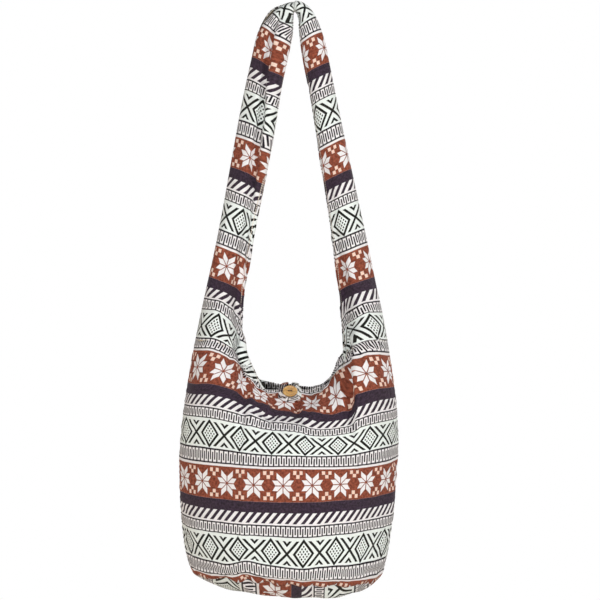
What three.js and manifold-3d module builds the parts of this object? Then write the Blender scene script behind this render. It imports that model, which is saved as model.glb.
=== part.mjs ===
// A printed cotton sling bag, filled and hanging from the crown of its strap.
// Millimetres, +Z up. The front faces -Y. The origin is the underside of the
// strap's crown, where a hook or a shoulder carries the bag.
// The front and the back are each cut in one with two strap arms: they are sewn
// to each other down both sides, to an oval base below, and end to end at the crown.
import * as THREE from 'three';
import { mergeVertices } from 'three/addons/utils/BufferGeometryUtils.js';
import Module from 'manifold-3d';

// Cloth
const CANVAS = 1.2;             // printed outer cloth
const LINING = 0.8;             // plain inner cloth
const SEAM = 0.3;               // space kept where two pieces are sewn together
const TURNING = 1.2;            // how far the lining stops short of the base seam

// Body
const BELLY_WIDTH = 327;
const BELLY_DEPTH = 200;
const BASE_WIDTH = 278;
const BASE_DEPTH = 170;
const BODY_FALL = 169;          // widest level down to the base seam at the sides
const BASE_DIP = 5;             // the base seam hangs lower at the front and the back
const BASE_SAG = 23;            // the base's fall below that
const BASE_FLAT = 0.4;          // share of the base that rests flat
const CORNER = 19;              // roundness of the body's lower edge at the sides
const FRONT_CORNER = 13;        // and at the front and the back
const HANG_OFFSET = 11;         // the base hangs this far to the left of the crown

// Mouth
const STRAP_DROP = 574;         // crown to the middle of the front rim
const ROOF_FALL = 98;           // middle of the rim down to the widest level
const MOUTH_WIDTH = 156;
const MOUTH_ROUND = 103;        // height of the rim's round end as it hangs
const NECKLINE = 55;            // height over which the arms close into tubes
const LEFT_NECKLINE = 90;       // height of the mouth's round ends in the flat cloth
const RIGHT_NECKLINE = 30;
const RIM_STAND = 12;           // the hem at the middle of the rim stands up
const ROOF_EASE = 0.4;          // 0: the roof runs out level at the rim, 1: it rises evenly
const MOUTH_SLIT = 14;          // between the two rims at the middle
const BACK_RISE = 2;            // the back rim stands higher than the front one
const RIM_DIP = 81;             // the rim's middle hangs below its own thread at the sides
const LOBE = 42;                // swell of the cloth beside the mouth
const LOBE_EASE = 75;           // height over which the swell dies out up the arms
const CENTRE_CURL = 1.5;        // the swell runs out flat at the middle of the mouth
const RIM_CURL = 0.5;           // and curls back at an edge of an arm

// Strap arms
const ARM_SPREAD = 198;         // outside width where the arms turn straight
const ARM_SPREAD_DROP = 283;
const NECK_WIDTH = 104;         // outside width where they start to arch over
const NECK_DROP = 58;
const NECK_GAP = 15;            // inside width there
const NECK_GAP_DROP = 32;
const ARM_DEPTH = 22;
const ARM_SLIT = 6;             // between the front and back edges of one arm
const ARM_SLANT = 20;           // an arm's inner edge hangs lower than its outer one
const CROWN_HEIGHT = 14;
const CROWN_DEPTH = 30;
const LEFT_FULL = 10;           // the left arm lies flatter and wider near the crown
const RIGHT_SLIM = 4;           // and the right one is turned edge on
const EDGE_DROP = 16;           // the rim's edge is pulled down beside each crease
const LEFT_DROP_EASE = 200;     // height over which the pull dies out up the arms
const RIGHT_DROP_EASE = 75;

// Tension creases, from beside the mouth up the arms
const CREASE_DEPTH = 26;
const CREASE_WIDTH = 13;
const CREASE_ARM = 0.84;        // its place across an arm, from the side seam
const LEFT_CREASE_TOP = 0.52;   // and where the left one reaches the crown
const CREASE_START = 95;        // below the rim's own row
const CREASE_EASE = 120;        // height over which a crease dies out up the arms
const LEFT_CREASE = 5;          // what stays of it on the left arm
const RIGHT_CREASE = 1;         // and on the right one

// Closure
const BUTTON_DIAMETER = 22;
const BUTTON_THICKNESS = 3;
const BUTTON_RIM = 2.4;         // width of the raised rim
const BUTTON_DISH = 0.9;        // depth of the hollow inside it
const BUTTON_INSET = 21;        // below the middle of the front rim
const HOLE_DIAMETER = 2.6;
const HOLE_SPACING = 5;
const THREAD_DIAMETER = 1.4;
const SHANK = 1.4;              // the thread holds the button this far off the ribbon
const LOOP_RADIUS = 13;         // middle of the ribbon, round the button
const LOOP_WIDTH = 7;
const LOOP_THICKNESS = 1.6;
const LOOP_ROOT = 5;            // half the spacing of the ribbon's two ends
const LOOP_OVERLAP = 14;        // how far the ends lie on the back panel
const LOOP_LIFT = 1.3;          // the cloth's folds hold the ribbon off the panel

// How finely the cloth is divided
const BODY_ROWS = 12;
const ARM_ROWS = 14;
const HEM_ROWS = [0.4, 1.6];    // close rows beside the middle of the rim
const OUTER_COLUMNS = 5;        // side seam to crease
const INNER_COLUMNS = 4;        // crease to rim or centre
const COLUMNS = OUTER_COLUMNS + INNER_COLUMNS;
const BASE_RINGS = [0.12, 0.32];

const wasm = await Module();
wasm.setup();

const { lerp, smoothstep } = THREE.MathUtils;

// Levels
const rimZ = -STRAP_DROP;
const bellyZ = rimZ - ROOF_FALL;
const baseZ = bellyZ - BODY_FALL;
const bottomZ = baseZ - BASE_DIP - BASE_SAG;

// The side seam in the front view, from the base seam up to the crown.
const armLean = (ARM_SPREAD - NECK_WIDTH) / 2 / (ARM_SPREAD_DROP - NECK_DROP);
const armHandle = (ARM_SPREAD_DROP + bellyZ) / -3.6;
const sideSeam = new THREE.CurvePath();
const belly = new THREE.Vector2(BELLY_WIDTH / 2, bellyZ);
const armFoot = new THREE.Vector2(ARM_SPREAD / 2, -ARM_SPREAD_DROP);
const neck = new THREE.Vector2(NECK_WIDTH / 2, -NECK_DROP);
sideSeam.add(new THREE.CubicBezierCurve(
  new THREE.Vector2(BASE_WIDTH / 2, baseZ),
  new THREE.Vector2(BASE_WIDTH / 2 + CORNER, baseZ + CORNER),
  new THREE.Vector2(belly.x, bellyZ - BODY_FALL * 0.37),
  belly));
sideSeam.add(new THREE.CubicBezierCurve(
  belly,
  new THREE.Vector2(belly.x, bellyZ + armHandle),
  new THREE.Vector2(armFoot.x + armLean * armHandle, armFoot.y - armHandle),
  armFoot));
sideSeam.add(new THREE.LineCurve(armFoot, neck));
sideSeam.add(new THREE.CubicBezierCurve(
  neck,
  new THREE.Vector2(neck.x - armLean * NECK_DROP * 0.6, neck.y * 0.4),
  new THREE.Vector2(neck.x / 2, CROWN_HEIGHT),
  new THREE.Vector2(0, CROWN_HEIGHT)));
sideSeam.arcLengthDivisions = 800;

// The middle of the front from the base seam up to the widest level, as depth and height.
const bellyProfile = new THREE.CubicBezierCurve(
  new THREE.Vector2(BASE_DEPTH / 2, baseZ - BASE_DIP),
  new THREE.Vector2(BASE_DEPTH / 2 + FRONT_CORNER, baseZ - BASE_DIP + CORNER),
  new THREE.Vector2(BELLY_DEPTH / 2, bellyZ - BODY_FALL * 0.37),
  new THREE.Vector2(BELLY_DEPTH / 2, bellyZ));
const seamLength = sideSeam.getLength();
const seamAt = (v) => sideSeam.getPointAt(THREE.MathUtils.clamp(v / seamLength, 0, 1));

// Height on the side seam, as a length of cloth above the base seam.
function seamRow(z) {
  let low = 0;
  let high = seamLength;
  for (let i = 0; i < 40; i += 1) {
    const middle = (low + high) / 2;
    if (seamAt(middle).y < z) low = middle;
    else high = middle;
  }
  return (low + high) / 2;
}
const bellyRow = seamRow(bellyZ);
const rimRow = seamRow(rimZ + RIM_DIP);

// The rim: a neckline cut round at the middle, and the arms' inner edges up to the crown.
const armEdge = new THREE.CurvePath();
const edgeFoot = new THREE.Vector2(MOUTH_WIDTH / 2, rimZ + MOUTH_ROUND);
const neckInside = new THREE.Vector2(NECK_GAP / 2, -NECK_GAP_DROP);
armEdge.add(new THREE.QuadraticBezierCurve(
  edgeFoot,
  new THREE.Vector2(edgeFoot.x * 0.95, lerp(edgeFoot.y, neckInside.y, 0.16)),
  neckInside));
armEdge.add(new THREE.QuadraticBezierCurve(
  neckInside,
  new THREE.Vector2(neckInside.x * 0.8, 0),
  new THREE.Vector2(0, 0)));
const edgePoints = armEdge.getPoints(48);

function armEdgeAt(z) {
  const above = edgePoints.findIndex((p) => p.y > z);
  if (above < 0) return 0;
  if (above === 0) return edgeFoot.x;
  const a = edgePoints[above - 1];
  const b = edgePoints[above];
  return lerp(a.x, b.x, (z - a.y) / (b.y - a.y));
}

// One thread across a panel, v above the base seam: where it leaves the side seam,
// where it ends at the centre or the rim, and how it swells and creases between.
function rowAt(v, rise, side) {
  const seam = seamAt(v);
  const up = Math.max(0, v - rimRow);
  const arm = up / (seamLength - rimRow);
  const fuller = smoothstep(arm, 0.2, 0.75) * (1 - smoothstep(arm, 0.86, 1));
  const outX = seam.x + (side < 0 ? LEFT_FULL : -RIGHT_SLIM) * fuller;
  const row = { v, outX, outZ: seam.y, inX: 0 };
  if (v <= bellyRow) {
    const middle = bellyProfile.getPointAt(v / bellyRow);
    row.inY = middle.x;
    row.inZ = middle.y;
  } else {
    const share = Math.min(1, (v - bellyRow) / (rimRow - bellyRow));
    const turn = share * Math.PI / 2;
    row.inY = lerp(MOUTH_SLIT, BELLY_DEPTH, Math.cos(turn)) / 2;
    row.inZ = bellyZ + (ROOF_FALL + rise) * lerp(Math.sin(turn), share, ROOF_EASE);
    row.inZ += RIM_STAND * smoothstep(v, rimRow - RIM_STAND * 4, rimRow);
  }
  const armDepth = lerp(ARM_DEPTH, CROWN_DEPTH, arm ** 6) / 2;
  row.slant = lerp(ARM_SLANT, CROWN_HEIGHT, arm ** 4);
  row.swell = LOBE * smoothstep(v, bellyRow, rimRow);
  if (up > 0) {
    const roundEnd = side < 0 ? LEFT_NECKLINE : RIGHT_NECKLINE;
    const cut = Math.sqrt(1 - Math.max(0, 1 - up / roundEnd) ** 2);
    row.inX = cut * armEdgeAt(seam.y - row.slant);
    row.swell = armDepth + (LOBE - armDepth) / (1 + (up / LOBE_EASE) ** 2);
  }
  row.width = row.outX - row.inX;
  row.tube = smoothstep(up, NECKLINE * 0.25, NECKLINE * 1.25);
  row.level = smoothstep(up, NECKLINE / 2, NECKLINE * 2);
  row.creaseAt = up < NECKLINE ? Math.min(CREASE_ARM, row.outX / 2 / row.width) : CREASE_ARM;
  row.crease = CREASE_DEPTH * smoothstep(v, rimRow - CREASE_START, rimRow);
  row.creaseLeft = Math.exp(-up / CREASE_EASE);
  row.drop = side < 0 ? Math.exp(-up / LEFT_DROP_EASE) : Math.exp(-((up / RIGHT_DROP_EASE) ** 2));
  row.drop *= EDGE_DROP * smoothstep(v, rimRow - CREASE_START, rimRow - CREASE_START / 9);
  row.high = smoothstep(arm, 0.35, 0.9);
  return row;
}

// Swell across a row: round at the side seam, and running out flat or curling back
// at the other end.
function swellShape(g, curl) {
  const top = 0.5 / (0.5 + curl);
  return Math.sqrt(g) * (1 - g) ** curl / (Math.sqrt(top) * (1 - top) ** curl);
}

function creasePlace(row, side) {
  return side < 0 ? lerp(row.creaseAt, LEFT_CREASE_TOP, row.high) : row.creaseAt;
}

// A point of the front panel. g runs from the side seam (0) to the centre or rim (1).
// Round the mouth the cloth keeps the body's form, and further up each arm is a
// flattened tube, open along its inner edge.
function panelPoint(row, side, g) {
  const x = lerp(row.outX, row.inX, g);
  const across = row.outX > 0 ? 1 - x / row.outX : g;
  const floor = lerp(
    row.inY * Math.sqrt(across * (2 - across)),
    ARM_SLIT / 2 * Math.sqrt(g * (2 - g)),
    row.tube);
  const swell = row.swell * lerp(swellShape(across, CENTRE_CURL), swellShape(g, RIM_CURL), row.tube);
  const rest = Math.min(side < 0 ? LEFT_CREASE : RIGHT_CREASE, CREASE_DEPTH);
  const creaseDepth = lerp(Math.min(rest, row.crease), row.crease, row.creaseLeft);
  const creaseWidth = CREASE_WIDTH * lerp(1, 0.5, row.tube);
  const inside = (g - creasePlace(row, side)) * row.width;
  const dent = creaseDepth * Math.exp(-((inside / creaseWidth) ** 2));
  const bodyZ = lerp(row.outZ, row.inZ, smoothstep(across, 0.15, 0.9));
  const pulled = smoothstep(inside, -CREASE_WIDTH * 0.3, CREASE_WIDTH * 1.1)
    * (1 - smoothstep(inside, CREASE_WIDTH * 1.5, CREASE_WIDTH * 5.4));
  const z = lerp(bodyZ, row.outZ - row.slant * g, row.level) - row.drop * pulled;
  const lean = HANG_OFFSET * Math.max(0, z / bottomZ);
  const half = Math.max(x, row.v > rimRow ? SEAM / 2 : 0);
  return new THREE.Vector3(side * half - lean, -SEAM / 2 - floor - Math.max(swell - dent, 0), z);
}

// Columns lie closer at the side seam, at the crease and, on the arms, at the rim.
function columnAt(row, side, j) {
  const crease = creasePlace(row, side);
  if (j <= OUTER_COLUMNS) return crease * (1 - Math.cos(j / OUTER_COLUMNS * Math.PI / 2));
  const s = (j - OUTER_COLUMNS) / INNER_COLUMNS;
  return lerp(crease, 1, lerp(s, Math.sin(s * Math.PI / 2), row.tube));
}

// The heights of the rows: one passes under the button, and two lie close to the
// middle of the rim.
const buttonRow = rimRow - BUTTON_INSET;
const rows = [buttonRow, ...HEM_ROWS.map((step) => rimRow + step)];
for (let i = 0; i <= BODY_ROWS; i += 1) rows.push(rimRow * (i / BODY_ROWS) ** 1.25);
for (let i = 1; i <= ARM_ROWS; i += 1) {
  const s = (1 - Math.cos(i / ARM_ROWS * Math.PI)) / 2;
  rows.push(lerp(rimRow, seamLength, s));
}
rows.sort((a, b) => a - b);

// The middle surface of a panel: two halves that share the centre line below the rim.
// facing is -1 for the front and 1 for the back.
function panelSurface(facing, trim) {
  const rise = facing > 0 ? BACK_RISE : 0;
  const points = [];
  const flat = [];
  const triangles = [];
  const ids = new Map();
  const vertex = (side, i, j) => {
    const shared = j === COLUMNS && rows[i] <= rimRow;
    const key = `${shared ? 1 : side},${i},${j}`;
    if (!ids.has(key)) {
      const row = rowAt(rows[i], rise, side);
      const p = panelPoint(row, side, columnAt(row, side, j));
      ids.set(key, points.length);
      points.push(new THREE.Vector3(p.x, -facing * p.y, p.z));
      flat.push({ seam: j === 0, crown: i === rows.length - 1 });
    }
    return ids.get(key);
  };
  for (const side of [-1, 1]) {
    for (let i = 0; i < rows.length - 1; i += 1) {
      for (let j = 0; j < COLUMNS; j += 1) {
        const a = vertex(side, i, j);
        const b = vertex(side, i + 1, j);
        const c = vertex(side, i + 1, j + 1);
        const d = vertex(side, i, j + 1);
        if (side * facing < 0) triangles.push([a, b, c], [a, c, d]);
        else triangles.push([a, c, b], [a, d, c]);
      }
    }
  }
  const normals = surfaceNormals(points, triangles);
  normals.forEach((n, k) => {
    if (flat[k].seam) n.setY(0).normalize();
    if (flat[k].crown) n.setX(0).normalize();
  });
  for (const side of [-1, 1]) {
    for (let j = 0; j <= COLUMNS; j += 1) {
      if (j === COLUMNS && side > 0) continue;
      const low = vertex(side, 0, j);
      const next = vertex(side, 1, j);
      const share = trim / points[low].distanceTo(points[next]);
      points[low].lerp(points[next], share);
      normals[low].lerp(normals[next], share);
    }
  }
  return { points, normals, triangles };
}

function surfaceNormals(points, triangles) {
  const geometry = new THREE.BufferGeometry().setFromPoints(points);
  geometry.setIndex(triangles.flat());
  geometry.computeVertexNormals();
  const attribute = geometry.getAttribute('normal');
  return points.map((_, k) => new THREE.Vector3().fromBufferAttribute(attribute, k));
}

// A closed solid between two offsets of a surface, with walls along its open edges.
function thicken({ points, normals, triangles }, outer, inner) {
  const count = points.length;
  const at = (offset) => points.map((p, k) => p.clone().addScaledVector(normals[k], offset));
  const edges = new Set();
  const index = [];
  for (const [a, b, c] of triangles) {
    index.push(a, b, c, a + count, c + count, b + count);
    for (const [p, q] of [[a, b], [b, c], [c, a]]) edges.add(`${p},${q}`);
  }
  for (const edge of edges) {
    const [p, q] = edge.split(',').map(Number);
    if (!edges.has(`${q},${p}`)) index.push(q, p, p + count, q, p + count, q + count);
  }
  const geometry = new THREE.BufferGeometry().setFromPoints([...at(outer), ...at(inner)]);
  geometry.setIndex(index);
  return geometry;
}

const liningOuter = -CANVAS / 2 - SEAM;
const liningInner = liningOuter - LINING;

// The base: an oval that starts on the seam ring and sags to a flat middle.
function baseSurface(start) {
  const ring = [];
  const front = rowAt(0, 0, 1);
  for (const [facing, side, from, to] of [[-1, -1, 0, 1], [-1, 1, 1, 0], [1, 1, 0, 1], [1, -1, 1, 0]]) {
    for (let k = 0; k < COLUMNS; k += 1) {
      const j = from === 0 ? k : COLUMNS - k;
      const p = panelPoint(front, side, columnAt(front, side, j));
      ring.push(new THREE.Vector3(p.x, j === 0 ? 0 : -facing * p.y, p.z));
    }
  }
  const centre = new THREE.Vector3(-HANG_OFFSET, 0, bottomZ);
  const steep = 2.5;
  const shares = [0, ...BASE_RINGS, 1 - BASE_FLAT];
  const points = [];
  for (const share of shares) {
    for (const p of ring) {
      const spoke = Math.hypot(p.x - centre.x, p.y, (p.z - bottomZ) * steep / (1 - BASE_FLAT));
      const reach = Math.max(share, start / spoke);
      const fall = 1 - Math.max(0, 1 - reach / (1 - BASE_FLAT)) ** steep;
      const q = p.clone().lerp(centre, reach);
      points.push(q.setZ(lerp(p.z, bottomZ, fall)));
    }
  }
  points.push(centre);
  const count = ring.length;
  const triangles = [];
  for (let r = 0; r < shares.length - 1; r += 1) {
    for (let k = 0; k < count; k += 1) {
      const a = r * count + k;
      const b = r * count + (k + 1) % count;
      triangles.push([a, a + count, b + count], [a, b + count, b]);
    }
  }
  const last = (shares.length - 1) * count;
  for (let k = 0; k < count; k += 1) {
    triangles.push([last + k, points.length - 1, last + (k + 1) % count]);
  }
  const normals = surfaceNormals(points, triangles);
  for (let k = last; k < points.length; k += 1) normals[k].set(0, 0, -1);
  return { points, normals, triangles };
}

// The row that meets the rim at a distance u from its middle.
function rimRowAt(u) {
  let low = rimRow;
  let high = seamLength;
  for (let i = 0; i < 40; i += 1) {
    const middle = (low + high) / 2;
    const inner = rowAt(middle, 0, Math.sign(u)).inX;
    if (inner < Math.abs(u) && middle < rimRow + NECKLINE) low = middle;
    else high = middle;
  }
  return low;
}

// The cloth near the middle of the rim: u to the right, s up from the button's place,
// over the front rim, across the slit and down the back panel.
function mouthSpot(u, s) {
  const spot = (v, facing) => {
    const side = Math.sign(u) || 1;
    const row = rowAt(v, facing > 0 ? BACK_RISE : 0, side);
    const g = Math.min(1, (row.outX - Math.abs(u)) / (row.outX - row.inX));
    const p = panelPoint(row, side, g);
    return new THREE.Vector3(p.x, -facing * p.y, p.z);
  };
  const edge = rimRowAt(u);
  const over = s - (edge - buttonRow);
  if (over <= 0) return spot(edge + over, -1);
  if (over >= MOUTH_SLIT) return spot(edge + MOUTH_SLIT - over, 1);
  return spot(edge, -1).lerp(spot(edge, 1), over / MOUTH_SLIT);
}

function mouthNormal(u, s) {
  const along = mouthSpot(u, s + 2).sub(mouthSpot(u, s - 2));
  const across = mouthSpot(u + 2, s).sub(mouthSpot(u - 2, s));
  return across.cross(along).normalize();
}

// The loop: a flat ribbon that lies on the cloth, round the button and back over the slit.
function loopGeometry() {
  const root = new THREE.Vector2(LOOP_ROOT, BUTTON_INSET + MOUTH_SLIT + LOOP_OVERLAP);
  const touch = root.angle() - Math.acos(LOOP_RADIUS / root.length());
  const turn = new THREE.Vector2(Math.cos(touch), Math.sin(touch)).multiplyScalar(LOOP_RADIUS);
  const route = new THREE.CurvePath();
  route.add(new THREE.LineCurve(root, turn));
  route.add(new THREE.EllipseCurve(0, 0, LOOP_RADIUS, LOOP_RADIUS, touch, Math.PI - touch, true));
  route.add(new THREE.LineCurve(
    new THREE.Vector2(-turn.x, turn.y),
    new THREE.Vector2(-root.x, root.y)));
  const steps = 30;
  const points = [];
  const normals = [];
  const triangles = [];
  for (let i = 0; i <= steps; i += 1) {
    const p = route.getPointAt(i / steps);
    const t = route.getTangentAt(i / steps);
    for (const w of [-0.5, 0, 0.5]) {
      const u = p.x - t.y * w * LOOP_WIDTH;
      const s = p.y + t.x * w * LOOP_WIDTH;
      points.push(mouthSpot(u, s));
      normals.push(mouthNormal(u, s));
    }
  }
  for (let i = 0; i < steps; i += 1) {
    for (const k of [3 * i, 3 * i + 1]) triangles.push([k, k + 3, k + 4], [k, k + 4, k + 1]);
  }
  const under = CANVAS / 2 + LOOP_LIFT;
  return thicken({ points, normals, triangles }, under + LOOP_THICKNESS, under);
}

const buttonLift = CANVAS / 2 + LOOP_LIFT + LOOP_THICKNESS + SHANK;

function solidOf(geometry) {
  const bare = geometry.clone();
  bare.deleteAttribute('normal');
  bare.deleteAttribute('uv');
  const merged = mergeVertices(bare, 1e-4);
  return new wasm.Manifold(new wasm.Mesh({
    numProp: 3,
    vertProperties: new Float32Array(merged.getAttribute('position').array),
    triVerts: new Uint32Array(merged.getIndex().array),
  }));
}

function geometryOf(solid) {
  const mesh = solid.getMesh();
  const geometry = new THREE.BufferGeometry();
  geometry.setAttribute('position', new THREE.Float32BufferAttribute(mesh.vertProperties, 3));
  geometry.setIndex(new THREE.BufferAttribute(mesh.triVerts, 1));
  return geometry;
}

// A turned shell button: a raised rim round a dished face, with two sewing holes.
function buttonGeometry() {
  const r = BUTTON_DIAMETER / 2;
  const t = BUTTON_THICKNESS;
  const profile = new THREE.Path();
  profile.moveTo(0, 0);
  profile.lineTo(r * 0.8, 0);
  profile.quadraticCurveTo(r, 0, r, t * 0.5);
  profile.quadraticCurveTo(r, t, r - BUTTON_RIM / 2, t);
  profile.quadraticCurveTo(r - BUTTON_RIM, t, r - BUTTON_RIM * 1.3, t - BUTTON_DISH);
  profile.lineTo(0, t - BUTTON_DISH);
  const disc = new THREE.LatheGeometry(profile.getPoints(3), 24);
  const drill = new THREE.CylinderGeometry(HOLE_DIAMETER / 2, HOLE_DIAMETER / 2, t * 4, 10);
  let solid = solidOf(disc);
  for (const side of [-1, 1]) {
    const hole = drill.clone().translate(side * HOLE_SPACING / 2, 0, 0);
    solid = solid.subtract(solidOf(hole));
  }
  return geometryOf(solid);
}

// The sewing thread: up from the cloth through one hole and down through the other.
function threadGeometry() {
  const x = HOLE_SPACING / 2;
  const foot = CANVAS / 2 + SEAM - buttonLift;
  const top = BUTTON_THICKNESS - BUTTON_DISH + SEAM + THREAD_DIAMETER / 2;
  const route = new THREE.CurvePath();
  const bend = THREAD_DIAMETER * 0.6;
  route.add(new THREE.LineCurve3(new THREE.Vector3(-x, foot, 0), new THREE.Vector3(-x, top - bend, 0)));
  route.add(new THREE.QuadraticBezierCurve3(
    new THREE.Vector3(-x, top - bend, 0),
    new THREE.Vector3(-x, top, 0),
    new THREE.Vector3(-x + bend, top, 0)));
  route.add(new THREE.LineCurve3(new THREE.Vector3(-x + bend, top, 0), new THREE.Vector3(x - bend, top, 0)));
  route.add(new THREE.QuadraticBezierCurve3(
    new THREE.Vector3(x - bend, top, 0),
    new THREE.Vector3(x, top, 0),
    new THREE.Vector3(x, top - bend, 0)));
  route.add(new THREE.LineCurve3(new THREE.Vector3(x, top - bend, 0), new THREE.Vector3(x, foot, 0)));
  const section = new THREE.Shape().absarc(0, 0, THREAD_DIAMETER / 2, 0, Math.PI * 2);
  return new THREE.ExtrudeGeometry(section, { steps: 16, extrudePath: route, curveSegments: 4 });
}

const bag = new THREE.Group();

function addPiece(name, geometry, colour, roughness, parent = bag) {
  geometry.computeVertexNormals();
  const material = new THREE.MeshStandardMaterial({ color: colour, roughness, metalness: 0 });
  const mesh = new THREE.Mesh(geometry, material);
  mesh.name = name;
  parent.add(mesh);
}

const PRINT = 0x97452c;
const PLAIN = 0xd8cdb8;
addPiece('front_panel', thicken(panelSurface(-1, 0), CANVAS / 2, -CANVAS / 2), PRINT, 0.9);
addPiece('back_panel', thicken(panelSurface(1, 0), CANVAS / 2, -CANVAS / 2), PRINT, 0.9);
addPiece('base_panel', thicken(baseSurface(SEAM), CANVAS / 2, -CANVAS / 2), PRINT, 0.9);
addPiece('front_lining', thicken(panelSurface(-1, TURNING), liningOuter, liningInner), PLAIN, 0.92);
addPiece('back_lining', thicken(panelSurface(1, TURNING), liningOuter, liningInner), PLAIN, 0.92);
addPiece('base_lining', thicken(baseSurface(TURNING), liningOuter, liningInner), PLAIN, 0.92);
addPiece('button_loop', loopGeometry(), PRINT, 0.9);

// The button and its thread stand square on the cloth below the middle of the rim.
const closure = new THREE.Group();
const up = mouthNormal(0, 0);
closure.position.copy(mouthSpot(0, 0).addScaledVector(up, buttonLift));
closure.quaternion.setFromUnitVectors(new THREE.Vector3(0, 1, 0), up);
addPiece('button', buttonGeometry(), 0xb98545, 0.35, closure);
addPiece('button_thread', threadGeometry(), 0x4a3a34, 0.85, closure);
bag.add(closure);

export default bag;
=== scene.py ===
import math

import bpy
import numpy as np
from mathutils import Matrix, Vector


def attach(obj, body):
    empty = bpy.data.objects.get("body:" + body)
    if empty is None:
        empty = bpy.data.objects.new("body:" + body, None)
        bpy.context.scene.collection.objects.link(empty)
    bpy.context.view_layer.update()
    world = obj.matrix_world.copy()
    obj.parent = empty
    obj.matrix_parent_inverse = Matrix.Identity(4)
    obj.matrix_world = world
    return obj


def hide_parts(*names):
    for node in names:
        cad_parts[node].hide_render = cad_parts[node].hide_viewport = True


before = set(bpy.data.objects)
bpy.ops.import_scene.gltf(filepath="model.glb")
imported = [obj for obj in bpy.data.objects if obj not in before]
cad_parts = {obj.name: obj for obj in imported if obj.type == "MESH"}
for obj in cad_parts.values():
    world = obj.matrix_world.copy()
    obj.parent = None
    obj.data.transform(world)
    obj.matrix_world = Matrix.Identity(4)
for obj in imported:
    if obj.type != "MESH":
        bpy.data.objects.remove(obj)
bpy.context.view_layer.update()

# The bag's cut and hang, in millimetres, as the CAD part has them.
CANVAS, LINING, SEAM = 1.2, 0.8, 0.3
BELLY_WIDTH, BELLY_DEPTH, BASE_WIDTH, BASE_DEPTH = 327, 200, 278, 170
BODY_FALL, BASE_DIP, BASE_SAG, BASE_FLAT = 169, 5, 23, 0.4
CORNER, FRONT_CORNER, HANG_OFFSET = 19, 13, 11
STRAP_DROP, ROOF_FALL, MOUTH_WIDTH, MOUTH_ROUND = 574, 98, 156, 103
NECKLINE, LEFT_NECKLINE, RIGHT_NECKLINE = 55, 90, 30
MOUTH_SLIT, BACK_RISE, RIM_DIP, RIM_STAND, ROOF_EASE = 14, 2, 81, 12, 0.4
LOBE, LOBE_EASE, CENTRE_CURL, RIM_CURL = 42, 75, 1.5, 0.5
ARM_SPREAD, ARM_SPREAD_DROP, NECK_WIDTH, NECK_DROP = 198, 283, 104, 58
NECK_GAP, NECK_GAP_DROP, ARM_DEPTH, ARM_SLIT = 15, 32, 22, 6
ARM_SLANT, CROWN_HEIGHT, CROWN_DEPTH = 20, 14, 30
LEFT_FULL, RIGHT_SLIM, EDGE_DROP = 10, 4, 16
LEFT_DROP_EASE, RIGHT_DROP_EASE = 200, 75
CREASE_DEPTH, CREASE_WIDTH, CREASE_ARM, LEFT_CREASE_TOP = 26, 13, 0.84, 0.52
CREASE_START, CREASE_EASE, LEFT_CREASE, RIGHT_CREASE = 95, 120, 5, 1
BUTTON_INSET, LOOP_RADIUS, LOOP_WIDTH, LOOP_THICKNESS = 21, 13, 7, 1.6
LOOP_ROOT, LOOP_OVERLAP, LOOP_LIFT = 5, 14, 1.3
PRINT_HALF = 209      # fabric from the panel's middle to its side seam
STUFFING_GAP, SETTLE_CAP, SETTLE_FRAMES = 2.5, 7.0, 20
BASE_LOW = 46         # where along x the stuffed base hangs lowest
PRINT_START = 12      # fabric between the base seam and the first print repeat
COLUMNS = 84

RIM_Z = -STRAP_DROP
BELLY_Z = RIM_Z - ROOF_FALL
BASE_Z = BELLY_Z - BODY_FALL
BOTTOM_Z = BASE_Z - BASE_DIP - BASE_SAG


def lerp(a, b, t):
    return a + (b - a) * t


def smoothstep(x, low, high):
    t = np.clip((x - low) / (high - low), 0, 1)
    return t * t * (3 - 2 * t)


def hill(x, middle, width):
    return np.exp(-(((x - middle) / width) ** 2))


def bezier(*points, steps=500):
    t = np.linspace(0, 1, steps)[:, None]
    level = [np.array(p, float) for p in points]
    level = [np.repeat(p[None], steps, 0) for p in level]
    while len(level) > 1:
        level = [lerp(a, b, t) for a, b in zip(level, level[1:])]
    return level[0]


def joined(*paths):
    return np.concatenate([paths[0]] + [p[1:] for p in paths[1:]])


def lengths(path):
    steps = np.linalg.norm(np.diff(path, axis=0), axis=1)
    return np.concatenate([[0], np.cumsum(steps)])


# The side seam and the middle of the front, each by its own length of cloth.
arm_lean = (ARM_SPREAD - NECK_WIDTH) / 2 / (ARM_SPREAD_DROP - NECK_DROP)
handle = (ARM_SPREAD_DROP + BELLY_Z) / -3.6
half_belly, half_arm, half_neck = BELLY_WIDTH / 2, ARM_SPREAD / 2, NECK_WIDTH / 2
SIDE = joined(
    bezier(
        (BASE_WIDTH / 2, BASE_Z),
        (BASE_WIDTH / 2 + CORNER, BASE_Z + CORNER),
        (half_belly, BELLY_Z - BODY_FALL * 0.37),
        (half_belly, BELLY_Z),
    ),
    bezier(
        (half_belly, BELLY_Z),
        (half_belly, BELLY_Z + handle),
        (half_arm + arm_lean * handle, -ARM_SPREAD_DROP - handle),
        (half_arm, -ARM_SPREAD_DROP),
    ),
    bezier((half_arm, -ARM_SPREAD_DROP), (half_neck, -NECK_DROP), steps=60),
    bezier(
        (half_neck, -NECK_DROP),
        (half_neck - arm_lean * NECK_DROP * 0.6, -NECK_DROP * 0.4),
        (half_neck / 2, CROWN_HEIGHT),
        (0, CROWN_HEIGHT),
    ),
)
SIDE_AT = lengths(SIDE)
SIDE_LENGTH = SIDE_AT[-1]
FRONT = bezier(
    (BASE_DEPTH / 2, BASE_Z - BASE_DIP),
    (BASE_DEPTH / 2 + FRONT_CORNER, BASE_Z - BASE_DIP + CORNER),
    (BELLY_DEPTH / 2, BELLY_Z - BODY_FALL * 0.37),
    (BELLY_DEPTH / 2, BELLY_Z),
)
FRONT_AT = lengths(FRONT)
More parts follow.
